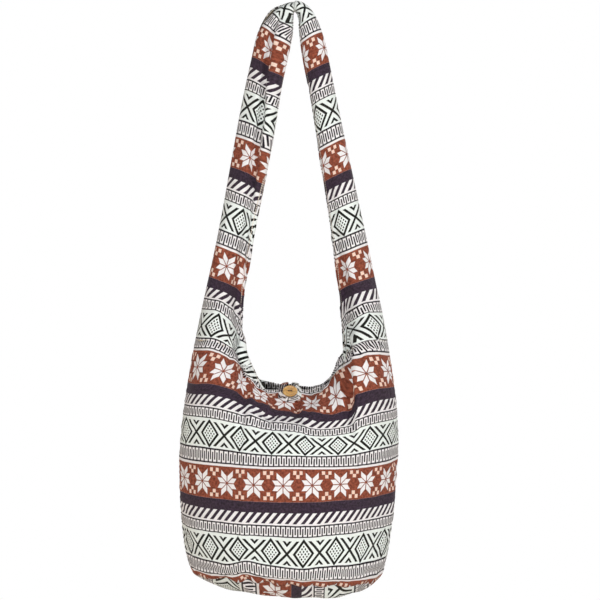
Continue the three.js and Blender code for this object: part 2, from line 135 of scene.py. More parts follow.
BELLY_ROW = np.interp(BELLY_Z, SIDE[:, 1], SIDE_AT)
RIM_ROW = np.interp(RIM_Z + RIM_DIP, SIDE[:, 1], SIDE_AT)
EDGE = joined(
    bezier(
        (MOUTH_WIDTH / 2, RIM_Z + MOUTH_ROUND),
        (MOUTH_WIDTH * 0.475, lerp(RIM_Z + MOUTH_ROUND, -NECK_GAP_DROP, 0.16)),
        (NECK_GAP / 2, -NECK_GAP_DROP),
    ),
    bezier((NECK_GAP / 2, -NECK_GAP_DROP), (NECK_GAP * 0.4, 0), (0, 0)),
)


def swell_shape(g, curl):
    top = 0.5 / (0.5 + curl)
    g = np.clip(g, 0, 1)
    return np.sqrt(g) * (1 - g) ** curl / (math.sqrt(top) * (1 - top) ** curl)


def panel_at(v, g, side, facing):
    """A point of a panel's middle surface: v of cloth above the base seam, and g from the
    side seam (0) to the centre or the rim (1)."""
    rise = BACK_RISE if facing > 0 else 0
    v, g, side = np.broadcast_arrays(v, g, side)
    out_x = np.interp(v, SIDE_AT, SIDE[:, 0])
    out_z = np.interp(v, SIDE_AT, SIDE[:, 1])
    up = np.maximum(0, v - RIM_ROW)
    arm = up / (SIDE_LENGTH - RIM_ROW)
    fuller = smoothstep(arm, 0.2, 0.75) * (1 - smoothstep(arm, 0.86, 1))
    out_x = out_x + np.where(side < 0, LEFT_FULL, -RIGHT_SLIM) * fuller
    low = np.clip(v / BELLY_ROW, 0, 1) * FRONT_AT[-1]
    share = np.clip((v - BELLY_ROW) / (RIM_ROW - BELLY_ROW), 0, 1)
    turn = share * math.pi / 2
    below = v <= BELLY_ROW
    in_y = np.where(
        below,
        np.interp(low, FRONT_AT, FRONT[:, 0]),
        lerp(MOUTH_SLIT, BELLY_DEPTH, np.cos(turn)) / 2,
    )
    in_z = np.where(
        below,
        np.interp(low, FRONT_AT, FRONT[:, 1]),
        BELLY_Z
        + (ROOF_FALL + rise) * lerp(np.sin(turn), share, ROOF_EASE)
        + RIM_STAND * smoothstep(v, RIM_ROW - RIM_STAND * 4, RIM_ROW),
    )
    arm_depth = lerp(ARM_DEPTH, CROWN_DEPTH, arm**6) / 2
    slant = lerp(ARM_SLANT, CROWN_HEIGHT, arm**4)
    round_end = np.where(side < 0, LEFT_NECKLINE, RIGHT_NECKLINE)
    cut = np.sqrt(1 - np.maximum(0, 1 - up / round_end) ** 2)
    in_x = np.where(up > 0, cut * np.interp(out_z - slant, EDGE[:, 1], EDGE[:, 0]), 0)
    swell = np.where(
        up > 0,
        arm_depth + (LOBE - arm_depth) / (1 + (up / LOBE_EASE) ** 2),
        LOBE * smoothstep(v, BELLY_ROW, RIM_ROW),
    )
    width = np.maximum(out_x - in_x, 1e-6)
    tube = smoothstep(up, NECKLINE * 0.25, NECKLINE * 1.25)
    level = smoothstep(up, NECKLINE / 2, NECKLINE * 2)
    crease_at = np.where(
        up < NECKLINE, np.minimum(CREASE_ARM, out_x / 2 / width), CREASE_ARM
    )
    high = smoothstep(arm, 0.35, 0.9)
    crease_at = np.where(side < 0, lerp(crease_at, LEFT_CREASE_TOP, high), crease_at)
    crease = CREASE_DEPTH * smoothstep(v, RIM_ROW - CREASE_START, RIM_ROW)

    x = lerp(out_x, in_x, g)
    across = np.where(out_x > 0, 1 - x / np.maximum(out_x, 1e-6), g)
    floor = lerp(
        in_y * np.sqrt(np.clip(across * (2 - across), 0, None)),
        ARM_SLIT / 2 * np.sqrt(np.clip(g * (2 - g), 0, None)),
        tube,
    )
    swell = swell * lerp(
        swell_shape(across, CENTRE_CURL), swell_shape(g, RIM_CURL), tube
    )
    rest = np.where(side < 0, LEFT_CREASE, RIGHT_CREASE)
    depth = lerp(np.minimum(rest, crease), crease, np.exp(-up / CREASE_EASE))
    dent = depth * hill(g * width, crease_at * width, CREASE_WIDTH * lerp(1, 0.5, tube))
    body_z = lerp(out_z, in_z, smoothstep(across, 0.15, 0.9))
    inside = (g - crease_at) * width
    fade = np.where(side < 0, np.exp(-up / LEFT_DROP_EASE), hill(up, 0, RIGHT_DROP_EASE))
    fade = fade * smoothstep(v, RIM_ROW - CREASE_START, RIM_ROW - CREASE_START / 9)
    drop = smoothstep(inside, -CREASE_WIDTH * 0.3, CREASE_WIDTH * 1.1) * fade
    drop = drop * (1 - smoothstep(inside, CREASE_WIDTH * 1.5, CREASE_WIDTH * 5.4))
    z = lerp(body_z, out_z - slant * g, level) - EDGE_DROP * drop
    lean = HANG_OFFSET * np.maximum(0, z / BOTTOM_Z)
    half = np.maximum(x, np.where(v > RIM_ROW, SEAM / 2, 0))
    y = SEAM / 2 + floor + np.maximum(swell - dent, 0)
    return np.stack([side * half - lean, facing * y, z], -1)


# Rows lie closer where the neckline is cut round.
ROWS = np.unique(
    np.concatenate(
        [
            np.linspace(0, 30, 12),
            np.linspace(30, RIM_ROW, 86),
            RIM_ROW + NECKLINE * np.linspace(0, 1, 28) ** 2,
            np.linspace(RIM_ROW + NECKLINE, SIDE_LENGTH, 112),
        ]
    )
)
RIM_INDEX = int(np.argmin(abs(ROWS - RIM_ROW)))


def columns(v):
    t = np.linspace(0, 1, COLUMNS + 1)[None, :]
    tube = smoothstep(v - RIM_ROW, NECKLINE * 0.25, NECKLINE * 1.25)[:, None]
    return lerp(1 - np.cos(t * math.pi / 2), (1 - np.cos(t * math.pi)) / 2, tube)


def vertex_normals(points, faces):
    a, b, c, d = (points[faces[:, k]] for k in range(4))
    n = np.cross(c - a, d - b)
    total = np.zeros_like(points)
    for k in range(4):
        np.add.at(total, faces[:, k], n)
    return total / np.maximum(np.linalg.norm(total, axis=1), 1e-12)[:, None]


def waves(u, v, seed, count, short, long, stretch=1.0):
    """A sum of seeded long waves, about 1 high, for the uneven lie of cloth."""
    rng = np.random.default_rng(seed)
    total = 0
    for _ in range(count):
        size = rng.uniform(short, long)
        angle = rng.uniform(0, math.pi)
        phase = rng.uniform(0, 2 * math.pi)
        across = u * math.cos(angle) + v * math.sin(angle) / stretch
        total = total + np.sin(across * 2 * math.pi / size + phase)
    return total / math.sqrt(count / 2)


def front_folds(u, v, side_gap):
    """How far the stuffed front stands out from its plain form, along its normal."""
    d = -3.0 * hill(u, 9, 6) * smoothstep(v, 270, 294) * (1 - smoothstep(v, 316, 332))
    left = smoothstep(v, 281, 291) * (1 - smoothstep(v, 318, 345))
    d += 8.0 * hill(u, -36, 18) * left
    d -= 4.0 * hill(u, -34, 26) * hill(v, 276, 8)
    d += 3.5 * hill(u, 44, 18) * smoothstep(v, 262, 288) * (1 - smoothstep(v, 315, 345))
    return d


# Fold lines of the front, from the top down: x, z, and how far the cloth right of the line
# stands out over the cloth left of it.
LEFT_FOLD = (
    (-20, 2, 0), (-28, -31, 8), (-42, -111, 8), (-45, -157, 7), (-58, -254, 5),
    (-71, -344, 4), (-77, -433, 6), (-79, -492, 8), (-76, -550, 10), (-71, -594, 8),
    (-65, -630, 0),
)
RIGHT_FOLD = (
    (68, -415, 0), (77, -445, 5), (84, -490, 9), (85, -550, 11), (84, -600, 9), (81, -645, 0)
)
MIDDLE_FOLD = ((7, -570, 0), (8, -588, 5), (9, -602, 5), (10, -620, 0))


def beside(points, line):
    """How far right of a fold line each point lies, and the fold's height there."""
    x, z, height = np.array(line[::-1], float).T
    gap = points[:, 0] - np.interp(points[:, 2], z, x)
    return gap, np.interp(points[:, 2], z, height)


def fold(points, line, reach, valley):
    """Relief of a fold; below the rim a valley runs along it, this share of it deep."""
    gap, height = beside(points, line)
    over = smoothstep(gap, -2, 4) * np.exp(-((np.maximum(gap, 0) / reach) ** 2))
    below = smoothstep(-points[:, 2], 470, 530)
    return height * (over - lerp(0.3, valley, below) * hill(gap, -5, lerp(8, 6, below)))


def table(place, *rows):
    places, values = np.array(rows, float).T
    return np.interp(place, places, values)


def slipped(points, v):
    """How far the printed bands hang below a level lie, where the front's folds pull them."""
    z = points[:, 2]
    gap, _ = beside(points, RIGHT_FOLD)
    low = table(v, (150, 0), (198, 7), (241, 20), (259, 26), (289, 15), (336, -3), (420, 0))
    high = table(
        v, (150, 0), (198, 4), (241, 9), (259, 8), (289, 0), (336, -3), (370, -5), (417, -4),
        (450, -5), (490, 0)
    )
    root = table(
        v, (198, 0), (259, 4), (289, 6), (336, 7), (360, 9), (398, 11), (417, 8), (450, 5),
        (490, 0)
    )
    width = lerp(4, 45, smoothstep(-z, 605, 650))
    across = smoothstep(gap, -width / 3, width)
    low, high = low * np.clip(1 + gap / 75, 0, 1), high * np.clip(1 - gap / 100, 0, 1)
    down = lerp(low, high + root, across)

    gap, _ = beside(points, LEFT_FOLD)
    width = lerp(4, 45, smoothstep(-z, 560, 610))
    over = smoothstep(gap, -width / 2, width)
    low = table(v, (198, 0), (259, -4), (289, -6), (336, -1), (370, 0))
    high = table(v, (198, 0), (259, -5), (289, -9), (336, -2), (370, 0))
    low, high = low * np.clip(1 + gap / 70, 0, 1), high * np.clip(1 - gap / 85, 0, 1)
    down = down + lerp(low, high, over)
    root = table(
        v, (289, 0), (336, -3), (356, 2), (377, 6), (398, 4), (417, 2), (450, 2), (490, 0)
    )
    down = down + root * (points[:, 0] < -3)
    seam = -5 * hill(points[:, 0], -65, 15) + 3.5 * hill(points[:, 0], -99, 18)
    down = down + seam * (1 - smoothstep(v, 25, 75))
    down = down + 3.5 * hill(points[:, 0], -4, 28) * hill(v, 45, 28)
    arm = smoothstep(z, -330, -230) * (points[:, 0] < -3)
    crown = smoothstep(z, -220, -40)
    up = 3.5 + 6.5 * crown * np.clip(-gap / 28, 0, 1)
    flap = 3 * smoothstep(z, -200, -110) * (1 - smoothstep(z, -60, -25))
    return down + arm * lerp(-up, flap, over)


def askew(points):
    """The stuffed body hangs a little askew: its right lower corner hangs low and slim."""
    x, z = points[:, 0], points[:, 2]
    low = 1 - smoothstep(z, -860, -760)
    down = table(x, (-130, 0), (-85, -8), (-25, -7), (20, -1), (60, 1), (95, 8), (140, 9))
    slim = table(z, (-853, 0), (-838, 5), (-764, 5), (-704, 4), (-640, 0))
    moved = points.copy()
    moved[:, 0] -= slim * smoothstep(x, 40, 150)
    moved[:, 2] -= down * low
    gap, _ = beside(points, LEFT_FOLD)
    bent = smoothstep(-z, 18, 70) * (1 - smoothstep(-z, 90, 330))
    moved[:, 1] += 0.35 * np.maximum(0, -gap) * bent * smoothstep(-x, 0, 12)
    return moved


def tucked(points, v):
    """How far the print lies shifted across, where the front's folds hide cloth."""
    gap, _ = beside(points, LEFT_FOLD)
    hidden = table(
        -points[:, 2], (10, 0), (40, 9), (100, 10), (160, 18), (200, 10), (235, 4), (330, 3), (430, 0)
    )
    arm = hidden * smoothstep(gap, -2, 4) * (points[:, 0] < -3)
    left = table(v, (262, 0), (277, -10), (386, -9), (437, 0)) * smoothstep(-gap, -8, 12)
    gap, _ = beside(points, RIGHT_FOLD)
    right = table(v, (262, 0), (277, -12), (324, -12), (326, 0)) * smoothstep(gap, -4, 6)
    return arm + left * (points[:, 0] < -3) + right


def back_folds(u, v, side_gap):
    d = -4.5 * hill(u, -14, 7) * smoothstep(v, 262, 290) * (1 - smoothstep(v, 316, 336))
    d += 4.0 * hill(u, 30, 20) * smoothstep(v, 278, 292) * (1 - smoothstep(v, 318, 345))
    return d


def spread(grid, rows, columns, n, m):
    """Values at some rows and columns of a grid, filled in linearly over all of it."""
    wide = np.empty((len(rows), m, 3))
    full = np.empty((n, m, 3))
    for k in range(3):
        for r in range(len(rows)):
            wide[r, :, k] = np.interp(np.arange(m), columns, grid[r, :, k])
        for c in range(m):
            full[:, c, k] = np.interp(np.arange(n), rows, wide[:, c, k])
    return full


def plain_object(name, points, faces):
    mesh = bpy.data.meshes.new(name)
    mesh.from_pydata((points * 0.001).tolist(), [], faces.tolist())
    obj = bpy.data.objects.new(name, mesh)
    bpy.context.scene.collection.objects.link(obj)
    return obj


def settle(points, ids, facing):
    """Moves of a panel that sinks onto the stuffing by its own weight, held at its seams and
    hems. The cloth is cut a little larger than the stuffing, so it wrinkles."""
    n, m = ids[1].shape
    last = int(np.searchsorted(ROWS, RIM_ROW + 60))
    rows = np.unique(np.concatenate([np.arange(0, last, 2), [RIM_INDEX, last]]))
    columns = np.arange(0, m, 2)
    some = {side: ids[side][np.ix_(rows, columns)] for side in (-1, 1)}
    used, place = np.unique(
        np.concatenate([some[-1].ravel(), some[1].ravel()]), return_inverse=True
    )
    half = len(rows) * len(columns)
    place = place.ravel()
    index = {-1: place[:half].reshape(some[-1].shape), 1: place[half:].reshape(some[1].shape)}
    faces = []
    for side in (-1, 1):
        i = index[side]
        quad = [i[:-1, :-1], i[1:, :-1], i[1:, 1:], i[:-1, 1:]]
        if side * facing > 0:
            quad.reverse()
        faces.append(np.stack(quad, -1).reshape(-1, 4))
    faces = np.concatenate(faces)
    start = points[used]
    inside = start - vertex_normals(start, faces) * STUFFING_GAP

    stuffing = plain_object("stuffing", inside, faces)
    stuffing.modifiers.new("Collision", "COLLISION")
    stuffing.collision.thickness_outer = 0.001
    stuffing.collision.thickness_inner = 0.02
    stuffing.collision.cloth_friction = 12
    cloth = plain_object("settling", start, faces)
    held = cloth.vertex_groups.new(name="held")
    fast = [index[side][:, 0] for side in (-1, 1)] + [index[side][0] for side in (-1, 1)]
    fast += [index[side][-1] for side in (-1, 1)]
    top = int(np.searchsorted(rows, RIM_INDEX))
    fast += [index[side][top:, -1] for side in (-1, 1)]
    held.add(np.unique(np.concatenate(fast)).tolist(), 1.0, "REPLACE")
    near = np.hypot(start[:, 0] + 7, start[:, 2] + 568) < 34
    held.add(np.flatnonzero(near).tolist(), 1.0, "REPLACE")
    sim = cloth.modifiers.new("Cloth", "CLOTH")
    sim.point_cache.frame_start, sim.point_cache.frame_end = 1, SETTLE_FRAMES
    sim.settings.quality = 5
    sim.settings.mass = 0.25
    sim.settings.tension_stiffness = 20
    sim.settings.compression_stiffness = 20
    sim.settings.shear_stiffness = 8
    sim.settings.bending_stiffness = 0.3
    sim.settings.vertex_group_mass = "held"
    sim.settings.shrink_min = -0.014
    sim.collision_settings.distance_min = 0.001
    sim.collision_settings.collision_quality = 2
    sim.collision_settings.use_self_collision = False
    scene = bpy.context.scene
    for step in range(1, SETTLE_FRAMES + 1):
        scene.frame_set(step)
    done = cloth.evaluated_get(bpy.context.evaluated_depsgraph_get())
    end = np.zeros(len(used) * 3, np.float32)
    done.data.vertices.foreach_get("co", end)
    moved = end.reshape(-1, 3).astype(float) * 1000 - start
    for obj in (cloth, stuffing):
        mesh = obj.data
        bpy.data.objects.remove(obj)
        bpy.data.meshes.remove(mesh)
    scene.frame_set(1)
    far = np.linalg.norm(moved, axis=1)
    moved *= (SETTLE_CAP * np.tanh(far / SETTLE_CAP) / np.maximum(far, 1e-9))[:, None]
    result = np.zeros_like(points)
    free = 1 - smoothstep(ROWS[: last + 1], RIM_ROW - 30, RIM_ROW + 40)
    for side in (-1, 1):
        filled = spread(moved[index[side]], rows, columns, last + 1, m)
        result[ids[side][: last + 1]] = filled * free[:, None, None]
    return result


def panel(facing):
    """The middle surface of a panel, with the cloth's own coordinates on every point."""
    v = ROWS[:, None]
    g = columns(ROWS)
    n, m = g.shape
    ids, points, u, w, side_gap, steep, share = {}, [], [], [], [], [], []
    count = 0
    for side in (-1, 1):
        p = panel_at(v, g, side, facing)
        s = np.concatenate(
            [
                np.zeros((n, 1)),
                np.cumsum(np.linalg.norm(np.diff(p, axis=1), axis=2), axis=1),
            ],
            axis=1,
        )
        full = np.where(ROWS <= RIM_ROW, s[:, -1], s[RIM_INDEX, -1])
        up = np.maximum(0, ROWS - RIM_ROW)
        pull = lerp(PRINT_HALF / full, 1, smoothstep(up, 0, 130))
        cloth = side * (PRINT_HALF - s * pull[:, None])
        keep = np.ones((n, m), bool)
        if side > 0:
            keep[: RIM_INDEX + 1, -1] = False
        index = np.full((n, m), -1)
        index[keep] = count + np.arange(keep.sum())
        count += keep.sum()
        if side > 0:
            index[: RIM_INDEX + 1, -1] = ids[-1][: RIM_INDEX + 1, -1]
        ids[side] = index
        points.append(p[keep])
        u.append(cloth[keep])
        w.append(np.broadcast_to(v, (n, m))[keep])
        side_gap.append(s[keep])
        share.append(g[keep])
        climb = np.gradient(p[:, :, 2], ROWS, axis=0)
        steep.append((1 / np.maximum(climb, 0.6))[keep])
    points = np.concatenate(points)
    u, w, side_gap = np.concatenate(u), np.concatenate(w), np.concatenate(side_gap)
    printed = w - PRINT_START - 3 * (u / PRINT_HALF) ** 2 * (1 - smoothstep(w, 200, 290))
    if facing < 0:
        printed = printed + slipped(points, w) * np.concatenate(steep)
    across = u + tucked(points, printed) if facing < 0 else u

    faces = []
    for side in (-1, 1):
        i = ids[side]
        quad = [i[:-1, :-1], i[1:, :-1], i[1:, 1:], i[:-1, 1:]]
        if side * facing > 0:
            quad.reverse()
        faces.append(np.stack(quad, -1).reshape(-1, 4))
    faces = np.concatenate(faces)

    normals = vertex_normals(points, faces)
    body = smoothstep(w, 0, 45) * (1 - smoothstep(w, RIM_ROW - 60, RIM_ROW))
    d = (front_folds if facing < 0 else back_folds)(u, w, side_gap)
    if facing < 0:
        d = d + fold(points, LEFT_FOLD, 24, 0.5) + fold(points, RIGHT_FOLD, 40, 0.9)
        d = d + fold(points, MIDDLE_FOLD, 26, 0.3)
    d = d + 1.5 * body * smoothstep(side_gap, 0, 40) * waves(u, w, 11 + facing, 9, 70, 150)
    arms = smoothstep(w, RIM_ROW, RIM_ROW + 90) * smoothstep(side_gap, 0, 14)
    d = d + 0.7 * arms * waves(u, w, 31 + facing, 7, 16, 34, 7.0)
    points = points + normals * d[:, None]
    pucker = np.exp(-w / 13) * (1.6 * waves(u, 0 * u, 51 + facing, 5, 26, 60))
    if facing < 0:
        pucker = pucker + np.exp(-w / 16) * (5.0 * hill(u, -66, 9) - 3 * hill(u, -88, 12))
    points[:, 2] += pucker * smoothstep(side_gap, 0, 30)
    if facing > 0:
        lift = 7 * hill(points[:, 0], -38, 15) - 5 * hill(points[:, 0], 52, 16)
        points[:, 2] += lift * smoothstep(w, RIM_ROW - 35, RIM_ROW)
    edge = smoothstep(np.concatenate(share), 0.5, 1) * smoothstep(w, RIM_ROW, RIM_ROW + 12)
    x, z = points[:, 0], points[:, 2]
    points[:, 0] += edge * np.where(x < 0, -7 * hill(z, -515, 26), 9 * hill(z, -530, 20))
    points = askew(points)
    points = points + settle(points, ids, facing)

    rim = np.concatenate(
        [
            points[ids[-1][:RIM_INDEX:-1, -1]],
            points[ids[1][RIM_INDEX:, -1]],
        ]
    )
    along = lengths(rim)
    nearest = np.full(len(points), 60.0)
    place = np.zeros(len(points))
    for start in range(0, len(points), 4000):
        gap = np.linalg.norm(points[start : start + 4000, None] - rim[None], axis=2)
        k = gap.argmin(1)
        nearest[start : start + 4000] = gap[np.arange(len(k)), k]
        place[start : start + 4000] = along[k]

    return {
        "points": points,
        "faces": faces,
        "ids": ids,
        "u": across,
        "w": printed,
        "rim": nearest,
        "along": place,
        "side": side_gap,
        "base": w,
    }


def sheet_normals(sheet):
    n = vertex_normals(sheet["points"], sheet["faces"])
    for index in sheet.get("ids", {}).values():
        seam = index[:, 0]
        n[seam, 1] = 0
        crown = index[-1]
        n[crown, 0] = 0
    return n / np.maximum(np.linalg.norm(n, axis=1), 1e-12)[:, None]


def thick(name, sheet, outer, inner, material):
    """A closed sheet between two offsets of its middle surface."""
    points, faces = sheet["points"], sheet["faces"]
    n = sheet_normals(sheet)
    count = len(points)
    verts = np.concatenate([points + n * outer, points + n * inner]) * 0.001
    pairs = np.concatenate([faces[:, [k, (k + 1) % 4]] for k in range(4)])
    pairs = pairs[pairs[:, 0] != pairs[:, 1]]
    key = pairs[:, 0] * count + pairs[:, 1]
    back = pairs[:, 1] * count + pairs[:, 0]
    edge = pairs[~np.isin(key, back)]
    walls = np.stack([edge[:, 1], edge[:, 0], edge[:, 0] + count, edge[:, 1] + count], 1)
    every = np.concatenate([faces, faces[:, ::-1] + count, walls])
    mesh = bpy.data.meshes.new(name)
    mesh.from_pydata(verts.tolist(), [], every.tolist())
    mesh.polygons.foreach_set("use_smooth", np.ones(len(mesh.polygons), bool))
    corner = np.zeros(len(mesh.loops), np.int32)
    mesh.loops.foreach_get("vertex_index", corner)
    corner %= count
    print_map = mesh.uv_layers.new(name="print")
    print_map.data.foreach_set(
        "uv", np.stack([sheet["u"], sheet["w"]], 1)[corner].ravel()
    )
    for key in ("rim", "along", "side", "base"):
        values = np.concatenate([sheet[key], sheet[key]]).astype(np.float32)
        mesh.attributes.new(key, "FLOAT", "POINT").data.foreach_set("value", values)
    mesh.materials.append(material)
    mesh.validate()
    obj = bpy.data.objects.new(name, mesh)
    bpy.context.scene.collection.objects.link(obj)
    return obj


# Shader nodes are written as sums: a Value carries a socket or a plain number.
class Value:
    def __init__(self, tree, socket):
        self.tree, self.socket = tree, socket

    def math(self, name, *others, clamp=False):
        node = self.tree.nodes.new("ShaderNodeMath")
        node.operation = name
        node.use_clamp = clamp
        for k, item in enumerate((self, *others)):
            if isinstance(item, Value):
                self.tree.links.new(item.socket, node.inputs[k])
            else:
                node.inputs[k].default_value = item
        return Value(self.tree, node.outputs[0])

    def __add__(self, o):
        return self.math("ADD", o)

    def __sub__(self, o):
        return self.math("SUBTRACT", o)

    def __mul__(self, o):
        return self.math("MULTIPLY", o)

    def __neg__(self):
        return self.math("MULTIPLY", -1.0)

    def __abs__(self):
        return self.math("ABSOLUTE")

    def __mod__(self, o):
        return self.math("FLOORED_MODULO", o)

    def wave(self, period):
        return self.math("MULTIPLY", 2 * math.pi / period).math("SINE")

    def near(self, period, middle=0.0):
        """Distance to the nearest repeat of middle."""
        return abs((self - middle).math("WRAP", period / 2, -period / 2))

    def over(self, edge, soft=0.35):
        """1 above edge and 0 below it."""
        return self.math("MULTIPLY_ADD", 1 / soft, 0.5 - edge / soft, clamp=True)

    def under(self, edge, soft=0.35):
        return self.math("MULTIPLY_ADD", -1 / soft, 0.5 + edge / soft, clamp=True)

    def between(self, low, high, soft=0.35):
        return self.over(low, soft).math("MINIMUM", self.under(high, soft))

    def both(self, *others):
        value = self
        for o in others:
            value = value.math("MINIMUM", o)
        return value

    def either(self, *others):
        value = self
        for o in others:
            value = value.math("MAXIMUM", o)
        return value


def linear(red, green, blue):
    def one(c):
        c /= 255
        return c / 12.92 if c <= 0.04045 else ((c + 0.055) / 1.055) ** 2.4

    return (one(red), one(green), one(blue), 1)


def mixed(tree, share, first, second):
    node = tree.nodes.new("ShaderNodeMix")
    node.data_type = "RGBA"
    for name, item in (("Factor", share), ("A", first), ("B", second)):
        sockets = [s for s in node.inputs if s.name == name and s.enabled]
        socket = sockets[0]
        if isinstance(item, Value):
            tree.links.new(item.socket, socket)
        elif isinstance(item, bpy.types.NodeSocket):
            tree.links.new(item, socket)
        else:
            socket.default_value = item
    return [s for s in node.outputs if s.enabled][0]


def noise(tree, vector, scale, detail=2.0):
    node = tree.nodes.new("ShaderNodeTexNoise")
    node.inputs["Scale"].default_value = scale
    node.inputs["Detail"].default_value = detail
    tree.links.new(vector, node.inputs["Vector"])
    return Value(tree, node.outputs["Fac"])


def meander(u, t, period):
    """A stroke that runs up and down, joined by turns at the top and the bottom."""
    f = u.near(period) * (2 / period)
    stroke = f.between(0.275, 0.725, 0.1)
    top = f.under(0.5, 0.12).both(t.under(0.21, 0.05))
    foot = f.over(0.5, 0.12).both(t.over(0.79, 0.05))
    return stroke.either(top, foot).both(t.between(0.05, 0.95, 0.05))


def print_group():
    """The printed cloth: bands of stars, slanted strokes, meanders and dotted diamonds that
    repeat every 163 mm. In: the place on the cloth in mm. Out: colour and thread height."""
    tree = bpy.data.node_groups.new("banded print", "ShaderNodeTree")
    tree.interface.new_socket("Cloth", in_out="INPUT", socket_type="NodeSocketVector")
    tree.interface.new_socket("Color", in_out="OUTPUT", socket_type="NodeSocketColor")
    tree.interface.new_socket("Height", in_out="OUTPUT", socket_type="NodeSocketFloat")
    tree.interface.new_socket("Ink", in_out="OUTPUT", socket_type="NodeSocketFloat")
    into = tree.nodes.new("NodeGroupInput")
    out = tree.nodes.new("NodeGroupOutput")
    cloth = into.outputs["Cloth"]
    split = tree.nodes.new("ShaderNodeSeparateXYZ")
    tree.links.new(cloth, split.inputs[0])
    raw_u, raw_w = Value(tree, split.outputs[0]), Value(tree, split.outputs[1])
    drift = noise(tree, cloth, 0.035, 1.0)
    bleed = noise(tree, cloth, 0.9, 2.0)
    u = raw_u + (drift - 0.5) * 1.6 + (bleed - 0.5) * 0.5
    w = raw_w + (drift - 0.5) * 1.2 + (bleed - 0.5) * 0.5
    p = -w % 163.0

    # Star band
    x = u.near(41.5, -8.0)
    y = abs(p - 25.9)
    tall = x.between(0.65, 9.2).both((y - x).over(0.9), (y - x * 0.95).under(9.4))
    wide = y.between(0.65, 7.4).both((x - y * 0.96).over(0.9), (x - y * 0.6).under(10.6))
    star = tall.either(wide)
    c = u.near(41.5, -8.0 + 20.75)
    single = c.under(2.4).both(y.between(9.6, 14.8))
    pair = c.between(2.4, 7.0).both(y.between(15.1, 20.4))
    cluster = single.either(pair)
    star_band = p.between(2.6, 48.8)

    # Slanted strokes, meanders and diamonds
    strokes = (u + p * 0.82).near(11.3).under(2.88).both(p.between(64.0, 78.7))
    first = meander(u, (p - 82.2) * (1 / 14.0), 7.0)
    second = meander(u, (p - 141.5) * (1 / 19.3), 7.2)
    dx = u.near(48.0, 23.0)
    dy = abs(p - 119.3)
    ring = abs(dx * (1 / 13.4) + dy * (1 / 18.2) - 1.0).under(0.152, 0.025)
    gap = -dx + 24.0
    low = dy.under(17.6)
    crossing = abs(gap * (1 / 15.3) - dy * (1 / 17.4)).under(0.147, 0.025).both(low)
    rise = dy - gap * 1.16
    chevron = rise.between(9.8, 14.4).both(low)
    a = dx * (1 / 2.45) + dy * (1 / 3.5)
    b = dx * (1 / 2.45) - dy * (1 / 3.5)
    dots = a.near(2.0, 1.0).either(b.near(2.0, 1.0)).under(0.54, 0.1)
    dots = dots.both(abs(a).either(abs(b)).under(3.7, 0.1))
    lines = ring.either(crossing, chevron, dots).both(p.between(97.6, 139.6))

    meander_rows = p.between(81.0, 97.0).either(p.between(140.0, 162.0))
    dark_band = p.between(48.8, 78.7).either(meander_rows)
    white_on_dark = strokes.either(first, second)

    # Colours drift within each ink
    mottle = noise(tree, cloth, 0.3, 3.0).math("MULTIPLY_ADD", 2.4, -0.7, clamp=True)
    fleck = noise(tree, cloth, 1.6, 2.0)
    brown = mixed(tree, mottle, linear(95, 42, 29), linear(168, 88, 64))
    dark = mixed(tree, mottle, linear(29, 20, 33), linear(65, 49, 68))
    white = mixed(tree, mottle, linear(244, 240, 241), linear(250, 248, 249))
    mint = mixed(tree, mottle, linear(240, 247, 244), linear(248, 252, 250))
    pink = mixed(tree, mottle, linear(244, 208, 188), linear(250, 228, 214))
    colour = mixed(tree, p.between(97.0, 140.0), white, mint)
    colour = mixed(tree, dark_band, colour, dark)
    colour = mixed(tree, meander_rows, colour, linear(20, 13, 27))
    colour = mixed(tree, star_band, colour, brown)
    colour = mixed(tree, cluster.both(star_band), colour, pink)
    colour = mixed(tree, star.either(white_on_dark), colour, white)
    colour = mixed(tree, lines, colour, linear(8, 14, 12))
    colour = mixed(tree, fleck.over(0.62, 0.3) * 0.05, colour, linear(205, 196, 190))
    tree.links.new(colour, out.inputs["Color"])

    # Plain weave: warp and weft threads pass over each other in turn
    warp, weft = raw_u.wave(1.3), raw_w.wave(1.3)
    top = (warp * weft).over(0.0, 0.3)
    height = abs(warp) * top + abs(weft) * (-top + 1.0)
    height = height * 0.8 + (fleck - 0.5) * 0.6
    tree.links.new(height.socket, out.inputs["Height"])
    ink = dark_band.either(star_band).both(-star.either(white_on_dark, cluster) + 1.0)
    tree.links.new(ink.socket, out.inputs["Ink"])
    return tree


PRINT = print_group()


def bare_material(name):
    material = bpy.data.materials.new(name)
    material.use_nodes = True
    tree = material.node_tree
    shader = tree.nodes["Principled BSDF"]
    return material, tree, shader


def attribute(tree, name):
    node = tree.nodes.new("ShaderNodeAttribute")
    node.attribute_name = name
    return Value(tree, node.outputs["Fac"])


def cloth_place(tree, turned=None):
    node = tree.nodes.new("ShaderNodeUVMap")
    node.uv_map = "print"
    return node.outputs["UV"]


